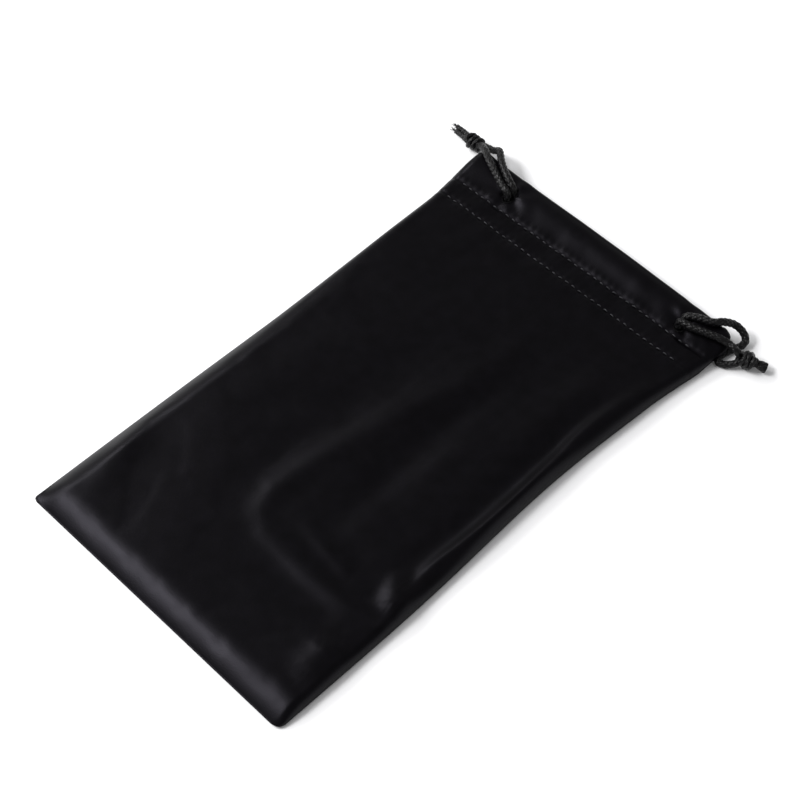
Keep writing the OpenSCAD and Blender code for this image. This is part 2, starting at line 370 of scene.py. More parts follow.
def yarn_material(name, dark, light, roughness, shine, sheen, fibre_scale):
    """Twisted or braided filament, with fine slanting fibres."""
    values = {
        "Roughness": roughness,
        "IOR": SOFT_IOR,
        "Specular IOR Level": shine,
        "Sheen Weight": sheen,
        "Sheen Roughness": 0.4,
        "Sheen Tint": (0.8, 0.78, 0.9, 1),
    }
    made, nodes, links, shader = start_material(name, values)
    coordinates = nodes.new("ShaderNodeTexCoord")
    patches = texture(nodes, links, coordinates, "ShaderNodeTexNoise", Scale=900, Detail=3)
    fibres = texture(
        nodes, links, coordinates, "ShaderNodeTexWave", Scale=fibre_scale, Distortion=3, Detail=2
    )
    fibres.bands_direction = "DIAGONAL"
    wandering_colour(nodes, links, shader, patches, dark, light)
    height = weighted_sum(nodes, links, (fibres, patches), (1.0, 0.6))
    add_relief(nodes, links, shader, height, 0.5, YARN_RELIEF)
    return made


CLOTH_MATERIAL = cloth_material()
CORD_MATERIAL = yarn_material(
    "black_braid",
    dark=(0.0014, 0.0013, 0.0014),
    light=(0.0048, 0.0045, 0.0052),
    roughness=0.30,
    shine=0.6,
    sheen=0.004,
    fibre_scale=900,
)
STITCH_MATERIAL = yarn_material(
    "topstitch_thread",
    dark=(0.013, 0.013, 0.015),
    light=(0.034, 0.033, 0.038),
    roughness=0.40,
    shine=0.6,
    sheen=0.006,
    fibre_scale=1500,
)
SEAM_MATERIAL = yarn_material(
    "overlock_thread",
    dark=(0.0008, 0.0007, 0.0009),
    light=(0.0024, 0.0022, 0.0027),
    roughness=0.5,
    shine=0.2,
    sheen=0.004,
    fibre_scale=1200,
)


def finish_piece(piece, material):
    """Gives the piece its one material."""
    piece.data.materials.clear()
    piece.data.materials.append(material)


# ---------------------------------------------------------------- shape of the pouch


RIGHT, LEFT = 1, -1
# For each side: what is added to the half width, depth and middle of the waist, and the flare
# towards the mouth, with the y where it starts and the length it takes
OUTLINE = {RIGHT: (0.7, 2.6, 16, 2.3, 52, 34), LEFT: (0.4, 0.5, 10, 1.5, 62, 18)}
WAIST_REACH = 40
BOTTOM_RADIUS = {RIGHT: 2.6, LEFT: 1.4}
MOUTH_RADIUS = {RIGHT: 5.0, LEFT: 2.0}


def half_width(y, side):
    """Half width of the pouch at y, on the RIGHT or the LEFT."""
    extra, waist, waist_y, flare, flare_y, flare_length = OUTLINE[side]
    drawn_in = waist * bump(y - waist_y, WAIST_REACH)
    return HALF_WIDTH + extra - drawn_in + flare * ease((y - flare_y) / flare_length)


def rounded_in(from_end, radius):
    """How far the outline steps in near an end, where the corner is rounded."""
    t = np.clip(radius - from_end, 0, radius)
    return radius - np.sqrt(np.maximum(radius * radius - t * t, 0))


def edge_x(y, side, lip):
    """Outline at y: the half width, less the rounding of the bottom and mouth corners."""
    at_bottom = rounded_in(y - BOTTOM, BOTTOM_RADIUS[side])
    return half_width(y, side) - (at_bottom + rounded_in(lip - y, MOUTH_RADIUS[side]))


# Height of the raised right corner of the mouth, and where its slopes start and how long they are
CORNER_RISE = 1.5
CORNER_X, CORNER_SLOPE_X = 46, 4
CORNER_Y, CORNER_SLOPE_Y = 71, 6


def corner_lift(x, y):
    """The mouth's right corner rides up over the cord that passes under it."""
    across = ease((x - CORNER_X) / CORNER_SLOPE_X)
    return CORNER_RISE * across * ease((y - CORNER_Y) / CORNER_SLOPE_Y)


# Soft folds on the front, and hollows between them (negative): (x, y, height, width) along each
FOLDS = [
    [(46.9, 60, 0.1, 3.2), (45.3, 51, 0.9, 3.0), (43.5, 33, 1.5, 2.7), (44.5, 19, 1.5, 2.5),
     (45.1, 6, 1.6, 2.3), (45.5, -6, 1.6, 2.2), (45.3, -18, 1.5, 2.2), (44.7, -28, 1.3, 2.2),
     (45.3, -35, 0.9, 2.2), (47.0, -42, 0.3, 2.2)],
    [(13.5, 46, 0.0, 8.0), (11.5, 35, 0.45, 6.5), (7.6, 18, 0.65, 5.5), (3.8, 1.5, 0.7, 5.0),
     (0.4, -17, 0.7, 4.8), (-2.4, -32, 0.65, 4.4), (-2.9, -43, 0.6, 4.2), (-0.6, -50, 0.55, 4.0),
     (5.0, -52.6, 0.5, 3.8), (12, -53.2, 0.5, 3.6), (28.8, -53.7, 0.6, 3.4),
     (40, -52.6, 0.6, 3.0), (46, -51, 0.2, 3.0)],
    [(7, -43.6, 0.1, 2.6), (12, -44.6, 0.45, 2.4), (20, -45.6, 0.6, 2.4), (29, -46.6, 0.5, 2.6),
     (36, -46.6, 0.2, 3.0)],
    [(36, 58, 0.0, 7.0), (35, 46, 0.8, 6.0), (33, 30, 0.7, 5.5), (32, 14, 0.4, 5.5), (31, 0, 0.1, 6.0)],
    [(47.8, -48.4, 0.4, 3.4), (45.8, -45.4, 1.5, 4.2), (43.2, -42, 1.4, 3.8), (40.6, -38.4, 0.7, 3.0),
     (38.6, -35.6, 0.1, 2.6)],
    [(42.4, -62, 0.1, 5.0), (43.4, -69, 1.2, 5.0), (43.2, -74, 0.9, 5.0), (42.6, -79, 0.1, 5.0)],
    [(-28, 20, 0.0, 7.0), (-30, 0, 0.35, 7.0), (-33, -24, 0.35, 7.0), (-36, -44, 0.1, 7.0)],
    [(-44, -52, 0.1, 4.0), (-42, -64, 0.6, 4.6), (-39, -75, 0.5, 5.0), (-36, -83, 0.2, 5.0)],
    [(19, 54, 0.0, 6.0), (17.9, 48, -0.3, 5.5), (15.6, 26, -0.6, 5.0), (14.7, 3, -0.8, 5.0),
     (15.4, -24, -0.8, 5.0), (16.2, -37, -0.4, 4.6)],
    [(39.5, 40, -0.2, 4.0), (40, 20, -0.6, 3.6), (40.4, 0, -0.8, 3.4), (40.4, -20, -0.7, 3.4),
     (39.6, -33, -0.4, 3.6)],
    [(-8, 34, 0.0, 8.0), (-9, 0, -0.4, 7.0), (-11, -30, -0.45, 6.0), (-10, -50, -0.2, 6.0)],
    [(4, -60, -0.15, 5.0), (20, -61, -0.35, 4.4), (34, -60, -0.3, 4.4)],
]


def fold_heights(x, y):
    """Sum of the folds' heights at the points (x, y)."""
    total = np.zeros_like(x)
    for fold in FOLDS:
        crest = smooth_curve([(p[0], p[1], 0) for p in fold], 0.5)
        along = np.linspace(0, 1, len(crest))
        marks = np.linspace(0, 1, len(fold))
        heights = np.interp(along, marks, [p[2] for p in fold])
        widths = np.interp(along, marks, [p[3] for p in fold])
        nearest = np.full(x.shape, np.inf)
        value = np.zeros_like(x)
        for (crest_x, crest_y, _), height, width in zip(crest, heights, widths):
            distance = np.hypot(x - crest_x, y - crest_y)
            value = np.where(distance < nearest, height * bump(distance, width), value)
            nearest = np.minimum(distance, nearest)
        total += value
    return total


WAVES = 7


def smooth_noise(x, y, seed, scale):
    """Soft random hills between -1 and 1, from a few crossed waves."""
    local = np.random.default_rng(seed)
    total = np.zeros_like(x)
    for _ in range(WAVES):
        angle, phase = local.uniform(0, 2 * math.pi, 2)
        rate = 2 * math.pi / (scale * local.uniform(0.7, 1.6))
        total += np.sin(rate * (x * math.cos(angle) + y * math.sin(angle)) + phase)
    return total / WAVES


ROW_SLOPE = 0.019
ROW_DROP = 0.35


def skew(x):
    """The rows of stitches run a little askew, lower at the left."""
    return ROW_SLOPE * x - ROW_DROP


def stitch_pucker(x, y, row, strength):
    """A row of stitches draws the cloth down, and it puffs up between the stitches."""
    off = y - row - skew(x)
    line = -0.26 * strength * bump(off, 0.9)
    puffs = 0.5 + 0.5 * np.cos(2 * math.pi * (x / STITCH_PITCH - STITCH_GAP_AT))
    uneven = 0.6 + 0.4 * smooth_noise(x, y * 0.1, 31 + int(row), 5)
    scallops = 0.16 * strength * uneven * puffs * bump(np.abs(off) - 1.1, 1.1)
    ripples = 0.34 * strength * smooth_noise(x, y * 0.22, 11 + int(row), 8) * bump(off, 4.2)
    return line + scallops + ripples


def roll_off(distance, width):
    """0 at an edge, rising as a quarter ellipse to 1 at this width inside it."""
    t = np.clip(distance / width, 0, 1)
    return np.sqrt(np.maximum(1 - (1 - t) ** 2, 0))


def soft_edge(distance, width):
    """0 at an edge, rising to 1 at this width inside it, without a steep wall."""
    return 1 - (1 - np.clip(distance / width, 0, 1)) ** 2


def casing_profile(x, y):
    """0 at the upper row of stitches, 1 over the cords, and a little less at the lip."""
    row = UPPER_ROW + skew(x)
    t = np.clip((y - row) / (FRONT_LIP - row), 0, 1)
    return mix(roll_off(t, 0.8), ease(t / 0.8), 0.85) - 0.12 * ease((t - 0.75) / 0.25)


# Dip of the cloth at a cord hole, height of the gathers round it and their number, and for each
# hole the turn of its gathers in radians
HOLE_DIP = 0.8
GATHER_HEIGHT = 0.22
GATHERS = 5
LEFT_GATHER_TURN = -0.9
RIGHT_GATHER_TURN = 0.7


def hole_pull(x, y):
    """The cloth dips at the cord holes and gathers round them."""
    total = np.zeros_like(x)
    for hole, turn in ((LEFT_HOLE, LEFT_GATHER_TURN), (RIGHT_HOLE, RIGHT_GATHER_TURN)):
        across, along = x - hole[0], y - hole[1]
        reach = np.hypot(across, along)
        total -= HOLE_DIP * bump(reach, 2.4)
        rays = np.cos(GATHERS * np.arctan2(along, across) + turn)
        total += GATHER_HEIGHT * rays * bump(reach - 4.5, 2.6)
    return total


# Width over which the cloth rises from each edge, in the body and at the mouth or in the hem
LEFT_RIM = 7.5
LEFT_RIM_AT_MOUTH = 3.5
RIGHT_RIM = 2.4
RIGHT_RIM_IN_HEM = 7.0
BOTTOM_RIM = 9.5
RIDGE_HEIGHT = 1.3
RIDGE_WIDTH = 5
RIDGE_SLOPE = 0.02
RIDGE_MIDDLE_X = 8
RIDGE_REACH = 42


def draped_height(x, y):
    """Height of the front panel's outer face, before its small wrinkles."""
    left = x + edge_x(y, LEFT, FRONT_LIP + 4)
    right = edge_x(y, RIGHT, FRONT_LIP + 4) - x
    in_hem = ease((y - UPPER_ROW - 1) / 5)
    cover = (
        mix(soft_edge(left, LEFT_RIM), roll_off(left, LEFT_RIM_AT_MOUTH), ease((y + 20) / 70))
        * roll_off(right, mix(RIGHT_RIM, RIGHT_RIM_IN_HEM, in_hem))
        * soft_edge(y - BOTTOM, BOTTOM_RIM)
    )
    top = BODY_Z + 0.14 * smooth_noise(x, y, 3, 36) + 0.05 * smooth_noise(x, y, 5, 14)
    top += fold_heights(x, y) * (1 - ease((y - LOWER_ROW + 10) / 9))
    top += (CASING_Z - BODY_Z) * casing_profile(x, y)
    top += 0.25 * smooth_noise(x, y * 0.6, 21, 19) * in_hem
    # The bunched cords raise a soft ridge along the middle of the casing
    off_ridge = bump(y - CASING_RIDGE_Y - RIDGE_SLOPE * x, RIDGE_WIDTH)
    top += RIDGE_HEIGHT * off_ridge * bump(x - RIDGE_MIDDLE_X, RIDGE_REACH)
    top += stitch_pucker(x, y, UPPER_ROW, 1.0) + stitch_pucker(x, y, LOWER_ROW, 0.9)
    top += hole_pull(x, y)
    base = SEAM_Z + corner_lift(x, y)
    return base + np.maximum(top - base, 0.3) * cover


# ---------------------------------------------------------------- small wrinkles, by cloth simulation

# The trial cloth is this many times larger than life, where the solver's default tolerances suit it
SIM_SCALE = 10
SIM_TOP = FRONT_LIP - 2
SIM_COLUMNS = 66
SIM_ROWS = 118
SIM_FRAMES = 20
# Share of extra cloth that has to buckle, and the most that a wrinkle may stand out
SIM_SLACK = 0.003
WRINKLE_CAP = 0.06


def panel_points(across, ys):
    """Grid of x and y over the front panel: across goes from 0 at the left to 1 at the right."""
    y = np.repeat(np.asarray(ys)[:, None], len(across), 1)
    left = -edge_x(y, LEFT, FRONT_LIP)
    right = edge_x(y, RIGHT, FRONT_LIP)
    return left + (right - left) * across[None, :], y


def simulate_wrinkles():
    """How far a slightly slack cloth buckles from the draped shape, on a coarse grid."""
    x, y = panel_points(np.linspace(0, 1, SIM_COLUMNS), np.linspace(BOTTOM, SIM_TOP, SIM_ROWS))
    z = draped_height(x, y)
    start = np.stack([x, y, z], 2).reshape(-1, 3)
    piece = mesh_object("wrinkle_trial", start * SIM_SCALE, grid_faces(SIM_ROWS, SIM_COLUMNS))
    held = piece.vertex_groups.new(name="held")
    from_sides = np.minimum(x + edge_x(y, LEFT, FRONT_LIP), edge_x(y, RIGHT, FRONT_LIP) - x)
    inside = np.minimum(from_sides, y - BOTTOM)
    on_row = np.minimum(np.abs(y - UPPER_ROW), np.abs(y - LOWER_ROW)) < 1.0
    fixed = (inside < 3.0) | on_row | (y > FRONT_LIP - 4) | (hole_pull(x, y) < -0.2)
    held.add(np.flatnonzero(fixed.ravel()).tolist(), 1.0, "REPLACE")
    settings = piece.modifiers.new("cloth", "CLOTH").settings
    settings.quality = 6
    settings.mass = 0.3
    settings.tension_stiffness = 15
    settings.compression_stiffness = 15
    settings.shear_stiffness = 6
    settings.bending_stiffness = 1.2
    settings.vertex_group_mass = "held"
    settings.shrink_min = -SIM_SLACK
    settings.effector_weights.gravity = 0
    for step in range(1, SIM_FRAMES + 1):
        bpy.context.scene.frame_set(step)
    final = piece.evaluated_get(bpy.context.evaluated_depsgraph_get())
    after = np.array([v.co for v in final.data.vertices]) / MM / SIM_SCALE
    bpy.data.objects.remove(piece)
    bpy.context.scene.frame_set(1)
    moved = (after[:, 2] - start[:, 2]).reshape(SIM_ROWS, SIM_COLUMNS)
    return WRINKLE_CAP * np.tanh(moved / WRINKLE_CAP)


def spline_sample(grid, u, v):
    """Smooth reading of a grid at column share u and row share v, both from 0 to 1."""
    rows, columns = grid.shape
    padded = np.pad(grid, 2, mode="edge")

    def basis(t):
        return ((1 - t) ** 3 / 6, (3 * t**3 - 6 * t**2 + 4) / 6,
                (-3 * t**3 + 3 * t**2 + 3 * t + 1) / 6, t**3 / 6)

    at_u = np.clip(u, 0, 1) * (columns - 1)
    at_v = np.clip(v, 0, 1) * (rows - 1)
    column, row = np.floor(at_u).astype(int), np.floor(at_v).astype(int)
    total = np.zeros_like(at_u)
    for j, weight_v in enumerate(basis(at_v - row)):
        for i, weight_u in enumerate(basis(at_u - column)):
            total += weight_v * weight_u * padded[row + j + 1, column + i + 1]
    return total


wrinkles = simulate_wrinkles()


def front_height(x, y):
    """Height of the front panel's outer face, with its small wrinkles."""
    left = -edge_x(y, LEFT, FRONT_LIP)
    right = edge_x(y, RIGHT, FRONT_LIP)
    u = (x - left) / (right - left)
    v = (y - BOTTOM) / (SIM_TOP - BOTTOM)
    return draped_height(x, y) + spline_sample(wrinkles, u, v)


def spaced(fine, coarse, band):
    """Stations from 0 to 1: fine steps within band of either end, coarse ones between."""
    n_band = int(round(band / fine))
    n_mid = int(round((1 - 2 * band) / coarse))
    return np.r_[
        np.linspace(0, band, n_band, endpoint=False),
        np.linspace(band, 1 - band, n_mid, endpoint=False),
        np.linspace(1 - band, 1, n_band + 1),
    ]


# ---------------------------------------------------------------- front panel

FRONT_FOLD_R = 1.25
FLAT_HEM = 0.5
# The turned-in layer of the hem is this much narrower than the panel
HEM_INSET = 0.97


def front_surface():
    """Outer face of the front panel: up the front, over the lip and down the inside of the hem."""
    across = spaced(0.0035, 0.0044, 0.06)
    turn_y = FRONT_LIP - FRONT_FOLD_R
    x, y = panel_points(across, np.r_[
        np.linspace(BOTTOM, BOTTOM + 6, 18, endpoint=False),
        np.linspace(BOTTOM + 6, LOWER_ROW - 5, 165, endpoint=False),
        np.linspace(LOWER_ROW - 5, turn_y, 68),
    ])
    outside = np.stack([x, y, front_height(x, y)], 2)
    top = outside[-1]
    # The hem is full over the cords, and pressed flat towards both sides
    room = np.minimum(top[:, 0] + half_width(turn_y, LEFT), half_width(turn_y, RIGHT) - top[:, 0])
    thick = mix(FLAT_HEM, 2 * FRONT_FOLD_R, ease(room / 9))
    bends = []
    for angle in np.radians(np.linspace(90, -90, 11)[1:]):
        x, y = panel_points(across, [turn_y + FRONT_FOLD_R * math.cos(angle)])
        z = top[:, 2] - thick * (1 - math.sin(angle)) / 2
        bends.append(np.stack([x[0], y[0], z], 1))
    x, y = panel_points(across, np.linspace(turn_y, HEM_END, 26)[1:])
    x = x * HEM_INSET
    open_hem = ease((y - UPPER_ROW - 0.5) / 3)
    z = front_height(x, y) - mix(CLOTH + 0.12, thick[None, :], open_hem)
    inside = np.stack([x, y, np.maximum(z, SEAM_Z + 0.1)], 2)
    return np.concatenate([outside, np.array(bends), inside])


def thick_cloth(name, grid):
    """A sheet of cloth with its outer face on the grid."""
    rows, columns = grid.shape[:2]
    piece = mesh_object(name, grid.reshape(-1, 3), grid_faces(rows, columns))
    shell = piece.modifiers.new("thickness", "SOLIDIFY")
    shell.thickness = CLOTH * MM
    shell.offset = -1
    apply_modifiers(piece)
    finish_piece(piece, CLOTH_MATERIAL)
    return piece


def blend_front(piece):
    """Bakes the piece's placement into its mesh."""
    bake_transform(piece)


front_cloth = thick_cloth("front_cloth", front_surface())
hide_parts("front_panel")
blend_front(front_cloth)


# ---------------------------------------------------------------- back panel

BACK_FOLD_R = 1.3
BACK_CORNER_X = 48.6


def back_edge(y, side):
    """Outline of the back panel, a little inside the front's, and clear of the cord at the right."""
    edge = edge_x(y, side, BACK_LIP + 0.6) - 0.15
    return mix(edge, np.minimum(edge, BACK_CORNER_X), ease((y - 62) / 10)) if side > 0 else edge


def back_surface():
    """Outer face of the back panel: along the table, over the lip and back along the inside."""
    across = spaced(0.006, 0.012, 0.06)
    turn_y = BACK_LIP - BACK_FOLD_R

    def row(y, height, inset=0.0):
        left, right = -back_edge(y, LEFT) + inset, back_edge(y, RIGHT) - inset
        x = left + (right - left) * across
        return np.stack([x, np.full_like(x, y), height(x)], 1)

    def curl(x, y):
        near = np.minimum(np.minimum(x + back_edge(y, LEFT), back_edge(y, RIGHT) - x), y - BOTTOM)
        return (SEAM_Z - 0.12) * bump(near, 0.8)

    ys = np.r_[
        np.linspace(BOTTOM, BOTTOM + 4, 8, endpoint=False),
        np.linspace(BOTTOM + 4, turn_y, 120),
    ]
    rows = [row(y, lambda x, y=y: curl(x, y)) for y in ys]
    last = rows[-1]
    room = np.minimum(last[:, 0] + back_edge(turn_y, LEFT), back_edge(turn_y, RIGHT) - last[:, 0])
    thick = mix(FLAT_HEM, 2 * BACK_FOLD_R, ease((room - 1) / 8))
    for angle in np.radians(np.linspace(-90, 90, 11)[1:]):
        y = turn_y + BACK_FOLD_R * math.cos(angle)
        rise = thick * (1 + math.sin(angle)) / 2
        rows.append(row(y, lambda x, rise=rise: last[:, 2] + rise, 0.2))
    for y in np.linspace(turn_y, HEM_END, 22)[1:]:
        up = mix(CLOTH + 0.12, thick, ease((y - UPPER_ROW - 0.5) / 3))
        rows.append(row(y, lambda x, up=up: up + 0 * x, 1.2))
    return np.array(rows)


back_cloth = thick_cloth("back_cloth", back_surface()[:, ::-1])
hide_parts("back_panel")
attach(back_cloth, "back")


# ---------------------------------------------------------------- stitches


def stitch_row(name, row, height, half_length, node):
    """A row of lockstitches: each length of thread rises from the cloth and dips back into it."""
    parts = Parts()
    count = int(2 * half_length / STITCH_PITCH)
    t = np.linspace(0, 1, 9)
    for i in range(count):
        x = (i - count // 2 + t * STITCH_SHARE) * STITCH_PITCH
        y = row + skew(x) + rng.uniform(-0.25, 0.25) * (t - 0.5) + rng.uniform(-0.06, 0.06)
        z = height(x, y) - rng.uniform(0.08, 0.26) + 0.34 * np.sin(math.pi * t) ** 0.6

        def radius(k, angles):
            swell = 0.7 + 0.3 * math.sin(math.pi * t[k])
            twist = 1 + 0.1 * np.cos(2 * angles + 22 * t[k])
            return THREAD_R * swell * twist

        parts.add(np.stack([x, y, z], 1), radius, 10)
    made = parts.build(name)
    finish_piece(made, STITCH_MATERIAL)
    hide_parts(node)
    return made


def back_inner_height(x, y):
    """Height of the back hem's inner face, where the back rows of stitches show."""
    return np.full_like(x, CLOTH + 0.12)


ROW_HALF = 45.5
for name, row, node in (
    ("front_upper_stitches", UPPER_ROW, "front_upper_topstitch"),
    ("front_lower_stitches", LOWER_ROW, "front_lower_topstitch"),
):
    blend_front(stitch_row(name, row, front_height, ROW_HALF, node))
for name, row, node in (
    ("back_upper_stitches", UPPER_ROW, "back_upper_topstitch"),
    ("back_lower_stitches", LOWER_ROW, "back_lower_topstitch"),
):
    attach(stitch_row(name, row, back_inner_height, ROW_HALF - 4, node), "back")


# ---------------------------------------------------------------- seam allowances


SEAM_HALF_W = 1.8
SEAM_HALF_T = 0.42
SEAM_MIDDLE_Z = 1.35
# Distance of each side seam's allowance from the outline
SEAM_INSET = {LEFT: 4.2, RIGHT: 4.6}
WRAP_PITCH = 1.6
WRAP_HALF_W = 1.95
WRAP_HALF_T = 0.5
WRAP_R = 0.13


def overlocked_seam(name, start, end, node):
    """A strip of turned-in cloth wrapped in zigzag thread, from start to end along the inside."""
    start, end = np.array(start, float), np.array(end, float)
    length = np.linalg.norm(end - start)
    along = (end - start) / length
    side = np.array([-along[1], along[0], 0])
    parts = Parts()
    t = np.linspace(0, 1, int(length / 1.5))
    path = start + (end - start) * t[:, None]
    path = path + side * (0.12 * np.sin(t * length * 0.8))[:, None]

    def strip(k, angles):
        wide = SEAM_HALF_W / np.maximum(np.abs(np.cos(angles)), 1e-3)
        tall = SEAM_HALF_T / np.maximum(np.abs(np.sin(angles)), 1e-3)
        return np.minimum(wide, tall)

    parts.add(path, strip, 12)
    turns = int(length / WRAP_PITCH)
    t = np.linspace(0, 1, turns * 6)
    angle = 2 * math.pi * turns * t
    wrap = start + (end - start) * t[:, None]
    wrap = wrap + side * (WRAP_HALF_W * np.cos(angle))[:, None]
    wrap[:, 2] += WRAP_HALF_T * np.sin(angle)
    parts.add(wrap, plain(WRAP_R), 6)
    made = parts.build(name)
    finish_piece(made, SEAM_MATERIAL)
    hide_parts(node)
    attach(made, "back")


for name, node in (
    ("left_seam", "left_side_seam"),
    ("right_seam", "right_side_seam"),
    ("lower_seam", "bottom_seam"),
):
    low, high = box_mm(node)
    if node == "bottom_seam":
        middle = (low[1] + high[1]) / 2
        ends = ((low[0], middle, SEAM_MIDDLE_Z), (high[0], middle, SEAM_MIDDLE_Z))
    else:
        side = LEFT if node.startswith("left") else RIGHT
        inset = SEAM_INSET[side]
        ends = (
            (side * (half_width(low[1], side) - inset), low[1], SEAM_MIDDLE_Z),
            (side * (half_width(20, side) - inset), high[1], SEAM_MIDDLE_Z),
        )
    overlocked_seam(name, *ends, node)


# ---------------------------------------------------------------- buttonholes


HOLE_HALF_W = 1.25
HOLE_HALF_L = 2.35
HOLE_THREADS = 38
HOLE_THREAD_R = 0.15


def buttonhole(name, hole, node):
    """Short threads side by side round a cord hole, drawn down into the cloth."""
    parts = Parts()
    t = np.linspace(0, 1, 6)
    for i in range(HOLE_THREADS):
        angle = 2 * math.pi * i / HOLE_THREADS
        out = np.array([math.cos(angle), math.sin(angle)])
        inner = np.array([HOLE_HALF_W, HOLE_HALF_L]) * out
        xy = hole[:2] + inner + out * (t * rng.uniform(0.6, 0.8))[:, None]
        z = front_height(xy[:, 0], xy[:, 1]) + 0.16 * np.sin(math.pi * t) - 0.06
        parts.add(np.column_stack([xy, z]), plain(HOLE_THREAD_R), 6)
    made = parts.build(name)
    finish_piece(made, SEAM_MATERIAL)
    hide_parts(node)
    blend_front(made)


buttonhole("left_hole_threads", LEFT_HOLE, "left_buttonhole_stitching")
buttonhole("right_hole_threads", RIGHT_HOLE, "right_buttonhole_stitching")


# ---------------------------------------------------------------- cords

BRAID_PITCH = 1.7
BRAID_ROWS = 5
BRAID_SIDES = 48
CORD_STEP = 0.12
CORD_R = 1.24
KNOT_CORD_R = 0.78
# How far a cord has thinned when it reaches its knot
CORD_THINNING = 0.12

# The cords' routes from their holes to their knots, and the tails past the knots
LEFT_UPPER_ROUTE = [
    (-30.8, 78, 6.7), (-30.8, 78, 7.6), (-31.1, 78, 8.4), (-31.9, 78.1, 8.8), (-34.5, 78.9, 8.7),
    (-38.6, 80.7, 8.7), (-43, 82.7, 8.7), (-47.3, 85.2, 8.5), (-50.8, 87.2, 6.5), (-52.8, 88.2, 4),
]
LEFT_LOWER_ROUTE = [
    (-30.8, 80.4, 6.7), (-30.8, 80.4, 7.6), (-31.1, 80.5, 8.4), (-31.9, 80.7, 8.8),
    (-34.5, 81.7, 8.8), (-37.5, 83.3, 8.8), (-40.4, 85.2, 8.8), (-42.9, 87.3, 8.6),
    (-45.4, 89.4, 6.3), (-48.2, 90.1, 3.7), (-50.8, 90, 3), (-52.8, 89.6, 2.8),
]
RIGHT_UPPER_ROUTE = [
    (37.3, 80.4, 6.7), (37.3, 80.4, 7.6), (37.6, 80.5, 8.4), (38.5, 80.8, 8.8), (41.4, 82.2, 8.8),
    (45, 83.9, 8.7), (46.9, 86.2, 8.7), (48.9, 89.2, 6.6), (50.8, 90.7, 3.4), (52.7, 90, 2),
    (53.1, 88.2, 1.5), (52.4, 86.2, 1.2), (51.5, 83.5, 1.2), (51.1, 80.9, 1.2), (51.6, 79, 1.2),
    (53.2, 78.9, 1.2), (55, 80.2, 1.5), (56.5, 82, 2.4),
]
RIGHT_LOWER_ROUTE = [
    (37.3, 78, 6.7), (37.3, 78, 7.6), (37.6, 77.9, 8.4), (38.5, 77.8, 8.8), (41.7, 78.1, 8.8),
    (44.5, 79.1, 8.8), (47.3, 80.1, 8.7), (50.4, 81.2, 8.4), (52.8, 82.2, 7.3), (54.4, 82.8, 5.6),
    (55.8, 83.2, 3.9),
]
LEFT_SHORT_TAIL = [(-57.4, 88, 2.6), (-60.6, 88.8, 1.9), (-63.7, 89.3, 1.1)]
LEFT_LONG_TAIL = [(-57.4, 89.2, 2.8), (-61.2, 90.3, 2), (-64.6, 91, 1.1)]
RIGHT_TAIL = [(60, 85, 2.8), (61.7, 85.8, 2.2), (63.3, 86.5, 1.6)]

# Height at which the routes cross the cloth, and limits of how the cords are let down onto it
CORD_TOP_Z = 8.8
MOST_SETTLING = 1.8
SETTLES_ABOVE = 6.4
SETTLING_GAP = 0.05


def settled(route):
    """The route let down onto the soft cloth, which lies lower than its solid."""
    points = []
    for i, (x, y, z) in enumerate(route):
        if z > SETTLES_ABOVE:
            cloth_z = float(front_height(np.array([float(x)]), np.array([float(y)]))[0])
            drop = min(max(CORD_TOP_Z - CORD_R - SETTLING_GAP - cloth_z, 0), MOST_SETTLING)
            slide = drop * 0.5 * min(i / 4, 1)
            x, y, z = x - slide, y + slide, z - drop
        points.append((x, y, z))
    return points


def braid(path, radius_at):
    """Points and faces of a braided tube: rows of small round bundles, set like bricks."""
    along = np.r_[0, np.cumsum(np.linalg.norm(np.diff(path, axis=0), axis=1))]

    def radius(k, angles):
        turn = 2 * math.pi * along[k] / BRAID_PITCH
        bundles = np.sqrt(np.abs(np.cos(BRAID_ROWS * angles) + math.cos(turn)) / 2)
        return radius_at(along[k]) * (0.82 + 0.20 * bundles)

    return capped_tube(path, radius, BRAID_SIDES)


def knot_turns(centre, axis, length, core_r, wrap_r, phase):
    """One strand's way through an overhand knot: along the core, round it, and out through it."""
    axis = np.array(axis, float) / np.linalg.norm(axis)
    side = np.cross([0, 0, 1.0], axis)
    side /= np.linalg.norm(side)
    up = np.cross(axis, side)

    def place(forward, radius, degrees):
        a = math.radians(degrees + phase)
        offset = radius * (math.cos(a) * side + math.sin(a) * up)
        return centre + axis * forward * length / 2 + offset

    points = [place(-1.0, core_r, 0), place(-0.3, core_r, 0), place(0.45, core_r * 1.1, 10)]
    points.append(place(0.74, wrap_r * 0.85, 50))
    for k in range(1, 6):
        points.append(place(mix(0.58, -0.36, k / 5), wrap_r, 50 + 75 * k))
    points.append(place(-0.62, wrap_r * 0.9, 480))
    points.append(place(-0.62, core_r * 1.2, 540))
    return points + [place(0.1, core_r, 560), place(1.0, core_r, 565)]


def cord_end(name, route, knot, tail, tail_radius, nodes):
    """One free end of a drawcord, from its hole through the knot to its tip."""
    free = settled(route)
    path = smooth_curve(free + knot + tail, CORD_STEP)
    total = curve_length(path)
    knot_at = curve_length(smooth_curve(free, CORD_STEP))
    tail_at = total - curve_length(smooth_curve(tail, CORD_STEP)) - 1.0

    def radius_at(s):
        thinning = float(ease(s / knot_at)) * CORD_THINNING
        even = mix(CORD_R - thinning, KNOT_CORD_R, float(ease((s - knot_at + 0.5) / 2)))
        u = float(np.clip((s - tail_at) / (total - tail_at), 0, 1))
        return mix(even, tail_radius(u), float(ease((s - tail_at) / 1.0)))

    points, faces = braid(path, radius_at)
    made = mesh_object(name, points, faces)
    finish_piece(made, CORD_MATERIAL)
    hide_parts(*nodes)
    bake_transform(made)


